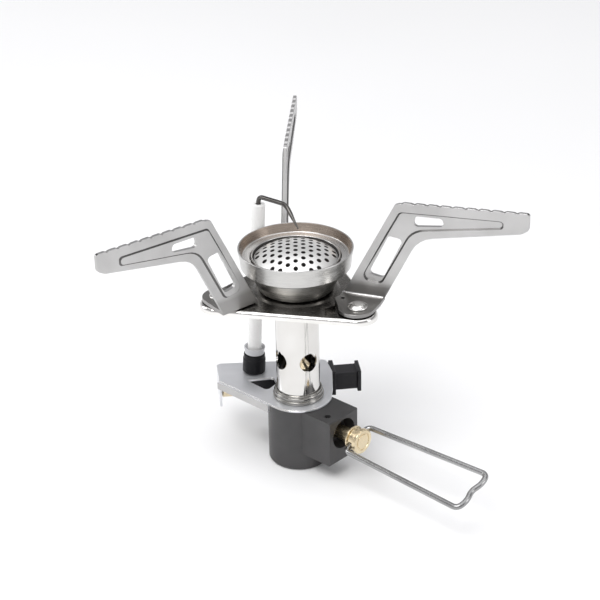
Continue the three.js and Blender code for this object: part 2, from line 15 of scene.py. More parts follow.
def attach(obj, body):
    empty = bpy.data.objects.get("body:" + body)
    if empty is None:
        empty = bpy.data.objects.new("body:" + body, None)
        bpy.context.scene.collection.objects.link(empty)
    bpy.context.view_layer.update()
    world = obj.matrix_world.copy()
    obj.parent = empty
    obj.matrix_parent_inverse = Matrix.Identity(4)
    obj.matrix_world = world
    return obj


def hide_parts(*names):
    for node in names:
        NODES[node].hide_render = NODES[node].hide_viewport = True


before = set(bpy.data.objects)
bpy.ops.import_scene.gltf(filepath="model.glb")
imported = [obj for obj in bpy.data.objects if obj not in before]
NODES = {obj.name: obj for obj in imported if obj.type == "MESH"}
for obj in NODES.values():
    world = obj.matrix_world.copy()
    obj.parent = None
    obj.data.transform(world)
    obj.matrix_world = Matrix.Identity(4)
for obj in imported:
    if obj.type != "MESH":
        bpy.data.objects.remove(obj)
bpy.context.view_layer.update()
MM = 0.001

# ---- Sizes shared by several pieces, in millimetres and degrees ------------------------------
BODY_R = 11.0
BODY_TOP = 24.2
BLOCK_END = 21.3
BLOCK_HALF = 7.4
BLOCK_LOW = 7
SPINDLE_Z = 17.4
HANDLE_TURN = 19
HANDLE_PIVOT = 27.3
HANDLE_END = 79
HANDLE_WIRE_R = 1.0
BRACKET_LOW = 24.3
BRACKET_TOP = 25.1
BRACKET_T = BRACKET_TOP - BRACKET_LOW
IGNITER_TURN = 50
IGNITER_OFFSET = 20
IGNITER_Z = 19.2
TUBE_R = 7.65
AIR_HOLE_Z = 41.2
PLATE_LOW = 65.0
PLATE_TOP = 67.2
HINGE_R = 27.5
CORNERS = {"right": 1, "rear": 121, "left": 241}
OPEN_ANGLE = 22.5
ARM_ANGLES = {"right": OPEN_ANGLE, "rear": 7.3, "left": OPEN_ANGLE}
LOBE_R = 6.9
ARM_OUTER = 10.3
ARM_T = 1.3
ARM_INNER = ARM_OUTER - ARM_T
FOOT_LOW = 0.45
FOOT_TOP = FOOT_LOW + ARM_T
HEEL = -8.4
LEG_FRONT = 6.4
BEND = 0.55
RIVET_HOLE_R = 1.9
CAP_EDGE_Z = 79.0
CAP_R = 14.4
ELECTRODE_FOOT = Vector((-23.6, 1.8, 26))
ELECTRODE_HEAD = Vector((-22.4, 5.4, 90.6))
ELECTRODE_LEAN = (ELECTRODE_HEAD - ELECTRODE_FOOT).normalized()
CERAMIC_R = 2.45

# Places for shapes drawn in x and y round z. UPRIGHT turns y up and z to -Y, ALONG_X turns z to +X,
# and LAID turns x to +Y, y up and z to +X.
UP = Matrix.Identity(4)
UPRIGHT = Matrix.Rotation(math.pi / 2, 4, "X")
ALONG_X = Matrix.Rotation(math.pi / 2, 4, "Y")
LAID = Matrix(((0, 0, 1, 0), (1, 0, 0, 0), (0, 1, 0, 0), (0, 0, 0, 1)))


def about_z(degrees):
    return Matrix.Rotation(math.radians(degrees), 4, "Z")


def moved(x, y, z):
    return Matrix.Translation((x, y, z))


# ---- Mesh tools ------------------------------------------------------------------------------
def to_object(name, bm):
    bmesh.ops.remove_doubles(bm, verts=bm.verts, dist=1e-4)
    bmesh.ops.recalc_face_normals(bm, faces=bm.faces)
    mesh = bpy.data.meshes.new(name)
    bm.to_mesh(mesh)
    bm.free()
    obj = bpy.data.objects.new(name, mesh)
    bpy.context.scene.collection.objects.link(obj)
    return obj


def bake(obj):
    """Applies every modifier on obj."""
    graph = bpy.context.evaluated_depsgraph_get()
    mesh = bpy.data.meshes.new_from_object(obj.evaluated_get(graph))
    obj.modifiers.clear()
    obj.data = mesh
    return obj


def rounded(corners, steps=6, closed=True):
    """Points of an outline whose (x, y, radius) corners are rounded with arcs."""
    points = []
    count = len(corners)
    for i, corner in enumerate(corners):
        here = Vector(corner[:2])
        radius = corner[2] if len(corner) > 2 else 0
        if not radius or (not closed and i in (0, count - 1)):
            points.append(here)
            continue
        back = Vector(corners[i - 1][:2]) - here
        ahead = Vector(corners[(i + 1) % count][:2]) - here
        inside = back.angle(ahead)
        if inside > math.radians(179.5):
            points.append(here)
            continue
        reach = min(radius / math.tan(inside / 2), 0.49 * back.length, 0.49 * ahead.length)
        radius = reach * math.tan(inside / 2)
        back.normalize()
        ahead.normalize()
        centre = here + (back + ahead).normalized() * radius / math.sin(inside / 2)
        start, end = here + back * reach - centre, here + ahead * reach - centre
        sweep = math.pi - inside
        for k in range(steps + 1):
            t = k / steps
            mix = math.sin((1 - t) * sweep) * start + math.sin(t * sweep) * end
            points.append(centre + mix / math.sin(sweep))
    return points


def circle(r, count=32, x=0, y=0):
    turns = [2 * math.pi * i / count for i in range(count)]
    return [Vector((x + r * math.cos(a), y + r * math.sin(a))) for a in turns]


def arc(r, start, end, steps, x=0, y=0):
    """Points from start to end degrees on a circle round (x, y)."""
    turns = [math.radians(start + (end - start) * k / steps) for k in range(steps + 1)]
    return [(x + r * math.cos(a), y + r * math.sin(a)) for a in turns]


def at_height(points, z):
    return [(x, y, z) for x, y in points]


def add_skin(bm, rings):
    """Adds a skin through rings of points to bm, capped at both ends."""
    rows = [[bm.verts.new(point) for point in ring] for ring in rings]
    bm.faces.new(rows[0][::-1])
    bm.faces.new(rows[-1])
    for low, high in zip(rows, rows[1:]):
        for i in range(len(low)):
            j = (i + 1) % len(low)
            bm.faces.new((low[i], low[j], high[j], high[i]))


def loft(name, rings):
    """A solid through rings of points."""
    bm = bmesh.new()
    add_skin(bm, rings)
    return to_object(name, bm)


def lathe(name, profile, place=UP, segments=128, steps=4):
    """Turns (radius, height, rounding) points about +Z, then sets the result at place."""
    on_axis = profile[0][0] == 0 and profile[-1][0] == 0
    points = rounded(profile, steps, closed=not on_axis)
    turns = [2 * math.pi * i / segments for i in range(segments)]
    bm = bmesh.new()
    rows = []
    for r, z in points:
        if r < 1e-6:
            rows.append([bm.verts.new((0, 0, z))] * segments)
        else:
            rows.append([bm.verts.new((r * math.cos(a), r * math.sin(a), z)) for a in turns])
    pairs = list(zip(rows, rows[1:]))
    if not on_axis:
        pairs.append((rows[-1], rows[0]))
    for low, high in pairs:
        for i in range(segments):
            j = (i + 1) % segments
            corners = dict.fromkeys((low[i], low[j], high[j], high[i]))
            if len(corners) > 2:
                bm.faces.new(tuple(corners))
    obj = to_object(name, bm)
    obj.data.transform(place)
    return obj


def sheet(name, outlines, low, high, edge=0.15, place=UP):
    """Flat plate from z = low to high. The first outline is its rim and the others are holes."""
    curve = bpy.data.curves.new(name, "CURVE")
    curve.dimensions = "2D"
    curve.fill_mode = "BOTH"
    curve.extrude = (high - low) / 2 - edge
    curve.bevel_depth = edge
    curve.bevel_resolution = 2
    curve.offset = -edge
    for points in outlines:
        spline = curve.splines.new("POLY")
        spline.points.add(len(points) - 1)
        for target, point in zip(spline.points, points):
            target.co = (point[0], point[1], 0, 1)
        spline.use_cyclic_u = True
    holder = bpy.data.objects.new(name, curve)
    bpy.context.scene.collection.objects.link(holder)
    graph = bpy.context.evaluated_depsgraph_get()
    bm = bmesh.new()
    bm.from_mesh(holder.evaluated_get(graph).to_mesh())
    bpy.data.objects.remove(holder)
    bmesh.ops.translate(bm, verts=bm.verts, vec=(0, 0, (low + high) / 2))
    obj = to_object(name, bm)
    obj.data.transform(place)
    return obj


def prism(name, points, low, high, place=UP):
    """A straight-sided solid on an outline, used for cutting and for blocks."""
    obj = loft(name, [at_height(points, low), at_height(points, high)])
    obj.data.transform(place)
    return obj


def block(name, low, high, place=UP):
    corners = [(low[0], low[1]), (high[0], low[1]), (high[0], high[1]), (low[0], high[1])]
    return prism(name, corners, low[2], high[2], place)


def rod(name, r, low, high, place=UP, segments=48):
    return prism(name, circle(r, segments), low, high, place)


def wire(name, points, radii, sides=24):
    """A round wire through points, its radius given at each one."""
    rings = []
    normal = None
    for i, point in enumerate(points):
        ahead = points[min(i + 1, len(points) - 1)] - points[max(i - 1, 0)]
        ahead.normalize()
        if normal is None:
            normal = ahead.orthogonal().normalized()
        normal = (normal - ahead * normal.dot(ahead)).normalized()
        side = ahead.cross(normal)
        ring = []
        for k in range(sides):
            a = 2 * math.pi * k / sides
            ring.append(point + radii[i] * (normal * math.cos(a) + side * math.sin(a)))
        rings.append(ring)
    return loft(name, rings)


def bent(points, radius, steps=10, spacing=1.5):
    """A 3-D route through points, its corners rounded and its points at most spacing apart."""
    points = [Vector(p) for p in points]
    route = [points[0]]
    for i in range(1, len(points) - 1):
        back = (points[i - 1] - points[i]).normalized()
        ahead = (points[i + 1] - points[i]).normalized()
        start, end = points[i] + back * radius, points[i] + ahead * radius
        for k in range(steps + 1):
            t = k / steps
            route.append(start.lerp(points[i], t).lerp(points[i].lerp(end, t), t))
    route.append(points[-1])
    dense = [route[0]]
    for a, b in zip(route, route[1:]):
        parts = max(1, math.ceil((b - a).length / spacing))
        dense += [a.lerp(b, k / parts) for k in range(1, parts + 1)]
    return dense


def combine(base, tools, operation="UNION", solver="EXACT"):
    for tool in tools:
        change = base.modifiers.new("shape", "BOOLEAN")
        change.operation = operation
        change.solver = solver
        change.object = tool
        bake(base)
        bpy.data.objects.remove(tool)
    return base


def cut(base, tools, solver="EXACT"):
    return combine(base, tools, "DIFFERENCE", solver)


def clean(obj):
    """Joins flat neighbouring faces so that edges can be rounded evenly."""
    bm = bmesh.new()
    bm.from_mesh(obj.data)
    bmesh.ops.remove_doubles(bm, verts=bm.verts, dist=1e-3)
    bmesh.ops.dissolve_limit(bm, angle_limit=math.radians(0.5), verts=bm.verts, edges=bm.edges)
    bm.to_mesh(obj.data)
    bm.free()
    return obj


def round_edges(obj, test, radius, segments=4):
    """Rounds the edges whose two end points both pass test."""
    bm = bmesh.new()
    bm.from_mesh(obj.data)
    edges = [e for e in bm.edges if all(test(*v.co) for v in e.verts) and len(e.link_faces) == 2
             and e.calc_face_angle(0) > math.radians(25)]
    bmesh.ops.bevel(bm, geom=edges, offset=radius, segments=segments, profile=0.5,
                    affect="EDGES", clamp_overlap=True)
    bm.to_mesh(obj.data)
    bm.free()
    return obj


def soften(obj, width, angle=35, segments=2):
    """Rounds every edge sharper than angle."""
    rounding = obj.modifiers.new("edges", "BEVEL")
    rounding.width = width
    rounding.segments = segments
    rounding.limit_method = "ANGLE"
    rounding.angle_limit = math.radians(angle)
    rounding.miter_outer = "MITER_ARC"
    return bake(obj)


def piece(obj, material, body, nodes=(), angle=38, extra=()):
    """Makes obj a finished piece: metres, shading, material, body and the CAD nodes it stands for.

    extra lists (material, test) pairs. A face takes the material of the last test that its centre and
    normal pass.
    """
    obj.data.materials.clear()
    for other in (material, *(pair[0] for pair in extra)):
        obj.data.materials.append(other)
    for face in obj.data.polygons:
        passed = [k for k, pair in enumerate(extra, 1) if pair[1](face.center, face.normal)]
        face.material_index = passed[-1] if passed else 0
    obj.data.transform(Matrix.Scale(MM, 4))
    obj.data.shade_smooth()
    obj.data.set_sharp_from_angle(angle=math.radians(angle))
    even = obj.modifiers.new("even", "WEIGHTED_NORMAL")
    even.keep_sharp = True
    bake(obj)
    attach(obj, body)
    if nodes:
        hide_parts(*nodes)
    return obj


# ---- Materials -------------------------------------------------------------------------------
class Surface:
    """A node material under construction, with short calls for the nodes used here."""

    def __init__(self, name, metallic, roughness, colour):
        self.material = bpy.data.materials.new(name)
        self.material.use_nodes = True
        self.tree = self.material.node_tree
        self.shader = self.tree.nodes["Principled BSDF"]
        self.shader.inputs["Metallic"].default_value = metallic
        self.shader.inputs["Roughness"].default_value = roughness
        self.shader.inputs["Base Color"].default_value = (*colour, 1)
        self.place = self.node("ShaderNodeTexCoord").outputs["Object"]

    def node(self, kind, **settings):
        node = self.tree.nodes.new(kind)
        for key, value in settings.items():
            setattr(node, key, value)
        return node

    def link(self, source, target):
        self.tree.links.new(source, target)

    def noise(self, scale, stretch=(1, 1, 1), detail=3, source=None):
        """Noise with its features scale per metre, drawn out along the axes with a low stretch."""
        mapping = self.node("ShaderNodeMapping")
        mapping.inputs["Scale"].default_value = stretch
        self.link(source or self.place, mapping.inputs["Vector"])
        noise = self.node("ShaderNodeTexNoise")
        noise.inputs["Scale"].default_value = scale
        noise.inputs["Detail"].default_value = detail
        self.link(mapping.outputs["Vector"], noise.inputs["Vector"])
        return noise.outputs["Fac"]

    def split_place(self):
        """The sockets X, Y and Z of the place."""
        parts = self.node("ShaderNodeSeparateXYZ")
        self.link(self.place, parts.inputs[0])
        return parts.outputs

    def radial(self):
        """Distance from the burner axis and height, so that streaks run round a turned piece."""
        parts = self.split_place()
        flat = self.node("ShaderNodeCombineXYZ")
        self.link(parts["X"], flat.inputs["X"])
        self.link(parts["Y"], flat.inputs["Y"])
        length = self.node("ShaderNodeVectorMath", operation="LENGTH")
        self.link(flat.outputs[0], length.inputs[0])
        joined = self.node("ShaderNodeCombineXYZ")
        self.link(length.outputs["Value"], joined.inputs["X"])
        self.link(parts["Z"], joined.inputs["Z"])
        return joined.outputs[0]

    def ramp(self, source, stops):
        ramp = self.node("ShaderNodeValToRGB")
        elements = ramp.color_ramp.elements
        while len(elements) < len(stops):
            elements.new(0.5)
        for element, (place, colour) in zip(elements, stops):
            element.position = place
            element.color = (*colour, 1)
        self.link(source, ramp.inputs["Fac"])
        return ramp.outputs["Color"]

    def spread(self, source, low, high, start=0.3, end=0.7):
        """Brings the stretch from start to end of source to low to high."""
        spread = self.node("ShaderNodeMapRange")
        values = {"From Min": start, "From Max": end, "To Min": low, "To Max": high}
        for key, value in values.items():
            spread.inputs[key].default_value = value
        self.link(source, spread.inputs["Value"])
        return spread.outputs["Result"]

    def mix(self, factor, first, second, blend="MIX"):
        """Mixes two colours. Each input is a socket, a number or a colour."""
        mix = self.node("ShaderNodeMix", data_type="RGBA", blend_type=blend)
        sockets = (mix.inputs[0], mix.inputs[6], mix.inputs[7])
        for value, socket in zip((factor, first, second), sockets):
            if isinstance(value, bpy.types.NodeSocket):
                self.link(value, socket)
            elif isinstance(value, tuple):
                socket.default_value = (*value, 1)
            else:
                socket.default_value = value
        return mix.outputs[2]

    def colour(self, source):
        self.link(source, self.shader.inputs["Base Color"])

    def colour_so_far(self):
        return self.shader.inputs["Base Color"].links[0].from_socket

    def roughness(self, source):
        self.link(source, self.shader.inputs["Roughness"])

    def relief(self, source, height):
        """Raises the surface by height metres where source is 1."""
        bump = self.node("ShaderNodeBump")
        bump.inputs["Distance"].default_value = height
        self.link(source, bump.inputs["Height"])
        self.link(bump.outputs["Normal"], self.shader.inputs["Normal"])


def metal(name, dark, light, rough, grain, stretch=(1, 1, 1), height=2e-6, turned=False, metallic=1.0):
    """A metal with soft cloudy tone, streaked roughness and a fine grain in relief."""
    s = Surface(name, metallic, sum(rough) / 2, light)
    where = s.radial() if turned else None
    s.colour(s.ramp(s.noise(70, detail=2), [(0.35, dark), (0.65, light)]))
    streaks = s.noise(grain, stretch, 4, where)
    s.roughness(s.spread(streaks, *rough))
    s.relief(streaks, height)
    return s


def matte(name, dark, light, rough, grain, height, metallic=0.0, shine=0.5):
    """A grained non-metal, or an anodised metal."""
    s = Surface(name, metallic, sum(rough) / 2, light)
    s.shader.inputs["Specular IOR Level"].default_value = shine
    s.colour(s.ramp(s.noise(90), [(0.3, dark), (0.7, light)]))
    fine = s.noise(grain, detail=2)
    s.roughness(s.spread(fine, *rough))
    s.relief(fine, height)
    return s


def cup_steel_painted_reflections():
    """Brushed steel of the cup's wall, with painted reflections: a few darker bands at fixed turns round
    the axis.
    """
    s = metal("cup_steel_painted_reflections", (0.46, 0.455, 0.445), (0.58, 0.575, 0.56), (0.24, 0.34), 9000, turned=True)
    around = s.node("ShaderNodeTexGradient", gradient_type="RADIAL")
    s.link(s.place, around.inputs["Vector"])
    dark, light = (0.42, 0.41, 0.4), (1.0, 1.0, 1.0)
    stops = [(0.0, light), (0.2, light), (0.235, dark), (0.29, light), (0.48, light), (0.53, dark),
             (0.575, light), (0.78, light), (0.83, dark), (0.88, light), (1.0, light)]
    # Painted reflections: the dark stops darken the steel in three bands round the axis.
    painted_reflection_bands = s.ramp(around.outputs["Fac"], stops)
    s.colour(s.mix(1.0, s.colour_so_far(), painted_reflection_bands, "MULTIPLY"))
    return s


SATIN_LOOK = ((0.46, 0.455, 0.45), (0.54, 0.535, 0.53), (0.3, 0.4), 5000)


def arm_steel_painted_shade(side, low):
    """Satin steel with painted shade: darkened down to the grey low where the leg meets the foot."""
    s = metal("arm_steel_painted_shade_" + side, *SATIN_LOOK)
    start, end = 0.0725, 0.0745
    # Painted shade: full darkening below the start height, none above the end height.
    height = s.spread(s.split_place()["Z"], 0, 1, start, end)
    s.colour(s.mix(height, (low, low * 0.98, low * 0.96), s.colour_so_far()))
    return s


ANODISED = matte("anodised", (0.066, 0.065, 0.066), (0.082, 0.08, 0.081), (0.36, 0.48), 9000, 4e-6,
                 metallic=0.6).material
BRASS = metal("brass", (0.74, 0.62, 0.42), (0.86, 0.75, 0.54), (0.2, 0.34), 5000).material
MIRROR = metal("polished_steel", (0.78, 0.765, 0.74), (0.86, 0.85, 0.83), (0.07, 0.14), 3000,
               (0.1, 1, 1), 1e-6).material
SHEET = metal("rolled_steel", (0.70, 0.71, 0.735), (0.80, 0.805, 0.83), (0.3, 0.4), 4000,
              (0.15, 1, 1), 1e-6, metallic=0.6).material
TUBE_STEEL = metal("tube_steel", (0.68, 0.665, 0.64), (0.76, 0.75, 0.73), (0.08, 0.14), 3000).material
COLLAR = metal("plated_collar", (0.20, 0.195, 0.185), (0.42, 0.41, 0.39), (0.1, 0.16), 3000).material
# Painted shade: a darker copy of the arms' steel for the flat faces of their feet.
FOOT_PAINTED_SHADE = metal("foot_steel_painted_shade", (0.26, 0.25, 0.24), (0.36, 0.35, 0.34), (0.26, 0.36), 5000).material
# Painted shade and painted reflection: the dark top of the support plate under the bowl.
PLATE_TOP_PAINTED_SHADE = metal("plate_top_painted_shade", (0.12, 0.114, 0.105), (0.22, 0.21, 0.195), (0.2, 0.3), 4000,
                   (0.15, 1, 1), 1e-6).material
# Painted shade and painted reflection: the near black of the arms' stamped walls and tooth sides.
CREASE_PAINTED_SHADE = metal("pressed_edge_painted_shade", (0.09, 0.088, 0.086), (0.14, 0.137, 0.134), (0.3, 0.4), 5000).material
SATIN = metal("satin_steel", *SATIN_LOOK).material
# Painted shade on each arm's low end, painted lighter on the left arm than on the other two.
ARM_STEEL_PAINTED_SHADE = {side: arm_steel_painted_shade(side, 0.34 if side == "left" else 0.26).material for side in CORNERS}
TURNED = metal("turned_steel", (0.66, 0.65, 0.635), (0.76, 0.75, 0.735), (0.2, 0.32), 9000,
               turned=True).material
# The cup's and bowl's steel, with painted reflections in dark bands round the axis.
CUP_PAINTED_REFLECTIONS = cup_steel_painted_reflections().material
TINTED = metal("heat_tinted_steel", (0.30, 0.25, 0.21), (0.42, 0.355, 0.30), (0.2, 0.32), 9000,
               turned=True).material
DOMED = metal("pressed_steel", (0.82, 0.815, 0.80), (0.9, 0.895, 0.88), (0.44, 0.54), 7000).material
# Painted shade: near black for the burner's insides, seen through the cap's holes.
INNER_PAINTED_SHADE = matte("in_painted_shade_steel", (0.025, 0.022, 0.02), (0.05, 0.045, 0.04), (0.6, 0.8), 4000, 5e-6).material
WIRE = metal("steel_wire", (0.32, 0.32, 0.32), (0.42, 0.42, 0.42), (0.2, 0.3), 5000).material
SPARK = metal("spark_steel", (0.07, 0.066, 0.062), (0.12, 0.115, 0.11), (0.14, 0.24), 5000).material
PLASTIC = matte("black_plastic", (0.009, 0.009, 0.011), (0.015, 0.015, 0.018), (0.34, 0.44), 6000,
                6e-6, shine=0.35).material
RUBBER = matte("black_rubber", (0.004, 0.004, 0.005), (0.008, 0.008, 0.010), (0.34, 0.46), 5000,
               8e-6, shine=0.2).material
CERAMIC = matte("ceramic", (0.80, 0.795, 0.78), (0.86, 0.855, 0.845), (0.25, 0.34), 3000, 2e-6).material
SILICONE = matte("silicone", (0.50, 0.505, 0.52), (0.62, 0.625, 0.64), (0.3, 0.4), 2500, 4e-6).material


# ---- Valve body, spindle and handle ----------------------------------------------------------
def socket_cutter():
    """The threaded socket for the canister, with the rooms above it."""
    crest, root, seat = 5.55, 5.85, 8.5
    profile = [(0, -1), (crest, -1)]
    for k in range(8):
        profile += [(crest, 0.6 + k), (root, 0.9 + k), (root, 1.1 + k), (crest, 1.4 + k)]
    profile += [(crest, seat), (3.4, seat), (3.4, 9.6), (2.9, 9.6), (2.9, 11.5), (0, 11.5)]
    return lathe("socket", profile, segments=64)


def build_valve_body():
    shell = [(0, 0), (BODY_R, 0, 1.3), (BODY_R, BODY_TOP, 0.35), (0, BODY_TOP)]
    body = lathe("valve_body_shell", shell, steps=5)
    side = block("side", (0, -BLOCK_HALF, BLOCK_LOW), (BLOCK_END, BLOCK_HALF, BODY_TOP))
    round_edges(side, lambda x, y, z: x > 1, 0.4, 3)
    combine(body, [side])
    mouth = [(0, 1), (1.6, 1), (1.6, 4), (4, 4), (4, 16.4), (5.6, 16.4), (5.6, 22), (0, 22)]
    bore = lathe("bore", mouth, moved(0, 0, SPINDLE_Z) @ ALONG_X, segments=64)
    pin = rod("pin", 1.15, 9.4, 26, moved(17.2, -3.8, 0), 32)
    jet_seat = rod("jet_seat", 3.2, 20, 26)
    cut(body, [socket_cutter(), bore, pin, jet_seat])
    soften(clean(body), 0.22)
    piece(body, ANODISED, "base", ["valve_body"])


def spindle_place():
    """Out along the spindle, turned to where the handle hangs."""
    return moved(0, 0, SPINDLE_Z) @ Matrix.Rotation(math.radians(HANDLE_TURN), 4, "X") @ LAID


def build_spindle():
    needle = [(0, 1.7), (0.5, 1.7), (1.3, 3.2), (1.3, 5), (3.6, 5.4), (3.6, 11.8)]
    groove = [(2.7, 11.8), (2.7, 13.6), (3.6, 13.6), (3.6, 15)]
    shaft = [(2.5, 15), (2.5, 25.6)]
    head = [(4.4, 25.6, 0.15), (4.4, 26.15, 0.15), (3.5, 26.4, 0.2), (3.5, 28.4, 0.2),
            (4.5, 28.7, 0.2), (4.5, 30.2, 0.3)]
    engraving = [(3.25, 30.2, 0.05), (3.15, 29.85, 0.05), (2.75, 29.85, 0.05), (2.65, 30.15, 0.05),
                 (0, 30.15)]
    stem = lathe("brass_spindle", needle + groove + shaft + head + engraving, segments=96)
    cut(stem, [rod("hole", 1.3, -8, 8, moved(0, 0, HANDLE_PIVOT) @ ALONG_X, 32)])
    stem.data.transform(spindle_place())
    piece(stem, BRASS, "spindle", ["valve_spindle"])


def build_handle():
    far = HANDLE_END
    half = [(0.9, 0, HANDLE_PIVOT), (6.4, 0, HANDLE_PIVOT), (8.4, 0, far - 0.9), (3.6, 0, far - 0.1)]
    other_half = [(-x, y, z) for x, y, z in reversed(half)]
    route = bent([*half, (0, 0, far - 1.6), *other_half], 2.3)
    handle = wire("handle_wire", route, [HANDLE_WIRE_R] * len(route))
    handle.data.transform(spindle_place())
    piece(handle, WIRE, "handle", ["wire_handle"])


# ---- Bracket, collar and tube ----------------------------------------------------------------
def build_bracket():
    outer = BODY_R + 0.15 + BRACKET_T
    left, right = -28, -3
    into_sheet = BRACKET_TOP - 0.3
    plan = [(left, -outer, 0.6), *arc(outer, -90, 28, 32), (6.4, 11, 1.2), (-2, 20.1, 1.5),
            (-9.7, 25.2, 2), (-37.4, -3, 1.2)]
    drop = [(-20.8, -5, 0.4), (-10.3, -5.3, 1.4), (-11.2, 0.5, 1.2), (-14.9, 2.7, 1.2)]
    holes = [circle(5.2, 48), circle(2.2, 24, ELECTRODE_FOOT.x, ELECTRODE_FOOT.y), rounded(drop)]
    plate = sheet("bracket_sheet", [rounded(plan), *holes], BRACKET_LOW, BRACKET_TOP, 0.16)
    flange = [(left, into_sheet), (right, into_sheet), (right, 22), (left, 22.2)]
    front_place = moved(0, -outer, 0) @ UPRIGHT @ Matrix.Scale(-1, 4, (0, 0, 1))
    front = prism("front", flange, -BRACKET_T, 0, front_place)
    tab = block("tab", (-26.9, 14.6, 14), (-26.1, 26.4, into_sheet), about_z(IGNITER_TURN))
    combine(plate, [front, tab])
    soften(clean(plate), 0.12)
    # Painted shade and painted highlight: the sheet's faces that look down or straight forward take the
    # darker satin steel, and its sloped front edges the bright polished steel.
    piece(plate, SHEET, "base", ["igniter_bracket"],
          extra=[(SATIN, lambda c, n: n.z < -0.5 or n.y < -0.9),
                 (MIRROR, lambda c, n: n.y < -0.2 and 0.2 < n.z < 0.97)])


def build_collar():
    inner, low = 7.8, BRACKET_TOP + 0.1
    foot = [(inner, low), (9.0, low, 0.3), (9.0, low + 1.1, 0.4), (8.45, low + 1.35, 0.2)]
    middle = [(8.65, low + 1.6, 0.3), (8.65, low + 2.5, 0.4), (8.15, low + 2.75, 0.2)]
    lip = [(8.3, low + 2.95, 0.2), (8.3, low + 3.3, 0.2), (inner, low + 3.4)]
    collar = lathe("collar", foot + middle + lip)
    piece(collar, COLLAR, "base", ["tube_collar"])


def build_tube():
    low, top, inner = BRACKET_TOP + 0.1, 67.5, TUBE_R - 0.6
    tube = lathe("tube", [(TUBE_R, low), (TUBE_R, top), (inner, top), (inner, low)], segments=160)
    holes = []
    for k in range(4):
        place = about_z(-15 + 90 * k) @ moved(0, 0, AIR_HOLE_Z) @ ALONG_X
        holes.append(rod("air", 3.5, 3, 10, place, 48))
    seam = block("seam", (TUBE_R - 0.12, -0.06, 20), (TUBE_R + 1, 0.06, 70), about_z(-28))
    cut(tube, [*holes, seam])
    piece(tube, TUBE_STEEL, "base", ["burner_tube"], angle=50)


# ---- Support plate ---------------------------------------------------------------------------
def three_lobes(inset, z):
    """The plate's rim at height z, drawn in by inset: an arc round each arm's hinge."""
    ring = []
    for corner in CORNERS.values():
        turn = math.radians(corner)
        x, y = HINGE_R * math.cos(turn), HINGE_R * math.sin(turn)
        ring += at_height(arc(LOBE_R - inset, corner - 60, corner + 60, 18, x, y), z)
    return ring


def build_support():
    roll, roll_low = 1.3, PLATE_TOP - 1.3
    skin = [(0, PLATE_LOW), (0, roll_low)]
    for k in range(1, 7):
        a = math.radians(15 * k)
        skin.append((roll * (1 - math.cos(a)), roll_low + roll * math.sin(a)))
    plate = loft("support", [three_lobes(inset, z) for inset, z in skin])
    hollow = loft("hollow", [three_lobes(0.8, PLATE_LOW - 1), three_lobes(0.8, roll_low),
                             three_lobes(1.3, roll_low + 0.5)])
    rise = (PLATE_TOP - ELECTRODE_FOOT.z) / (ELECTRODE_HEAD.z - ELECTRODE_FOOT.z)
    ear = ELECTRODE_FOOT.lerp(ELECTRODE_HEAD, rise)
    ear_place = moved(ear.x, ear.y, 0)
    ear_ring = rod("ear", 4.6, PLATE_TOP - 0.8, PLATE_TOP, ear_place, 48)
    raised = lathe("raised", [(0, PLATE_TOP - 0.5), (15.2, PLATE_TOP - 0.5), (15.2, PLATE_TOP - 0.02, 0.3),
                              (14, PLATE_TOP + 0.4, 0.8), (0, PLATE_TOP + 0.4)])
    below, above = 60, 70
    holes = [hollow, rod("tube_hole", TUBE_R + 0.25, below, above, UP, 96),
             rod("ceramic_hole", CERAMIC_R + 0.3, below, above, ear_place)]
    stops = []
    for corner in CORNERS.values():
        hinge = about_z(corner) @ moved(HINGE_R, 0, 0)
        holes.append(rod("rivet_hole", RIVET_HOLE_R, below, above, hinge))
        place = hinge @ about_z(OPEN_ANGLE) @ moved(-9, -2, PLATE_TOP) @ about_z(52)
        stops.append(block("stop", (-1.9, -0.35, -0.4), (1.9, 0.35, 1.5), place))
    combine(plate, [ear_ring, raised, *stops])
    cut(plate, holes)
    soften(clean(plate), 0.12)
    # The plate's upward faces and all above its top take the dark painted shade and painted reflection.
    piece(plate, MIRROR, "base", ["support_plate"],
          extra=[(PLATE_TOP_PAINTED_SHADE, lambda c, n: n.z > 0.95 and c.z > PLATE_LOW or c.z > PLATE_TOP - 0.1)])


# ---- Arms and rivets -------------------------------------------------------------------------
# Drawn round the hinge: x along the arm, y from the hinge out to the leg, z up from the plate.
def arm_outline():
    """The upright plate's rim in x and z, with teeth along its top."""
    tip, teeth, pitch = 55.3, 10, 4.3
    slope = (38.7 - 37) / (tip - 10.4)

    def edge(x):
        return 37 + slope * (x - 10.4)

    points = [(HEEL, FOOT_LOW), (10.1, 36.6, 0.8), (11.4, edge(11.4), 0.4)]
    for k in range(teeth, 0, -1):
        start = tip - pitch * k
        crest = edge(start + pitch / 2) + 0.45
        points += [(start, edge(start), 0.5), (start + 0.9, crest, 0.6), (start + 3.4, crest, 0.6)]
    points += [(tip, 38.6, 0.5), (tip, 33.2, 2.0), (52.6, 31.6, 2.5), (18.2, 25.1, 10),
               (LEG_FRONT, 1), (LEG_FRONT, FOOT_LOW)]
    return rounded(points, 4)


def emboss(inset):
    """The rim of the stamped field in x and z, drawn in by inset."""
    return rounded([(-2.2 + inset, 7.2 + inset, 2.2), (5.9 - inset, 6.6 + inset, 2.2),
                    (16.4 - inset, 27.4 + inset, 8),
                    (47 - inset, 32.4 + inset, 1.3), (47 - inset, 35.6 - inset, 1.3),
                    (11.4 + inset, 34.4 - inset, 1.8)], 5)


def stamp(name, *levels):
    """A solid on the stamped field, from (inset, distance out to the face) levels."""
    solid = loft(name, [at_height(emboss(inset), -out) for inset, out in levels])
    solid.data.transform(UPRIGHT)
    return solid


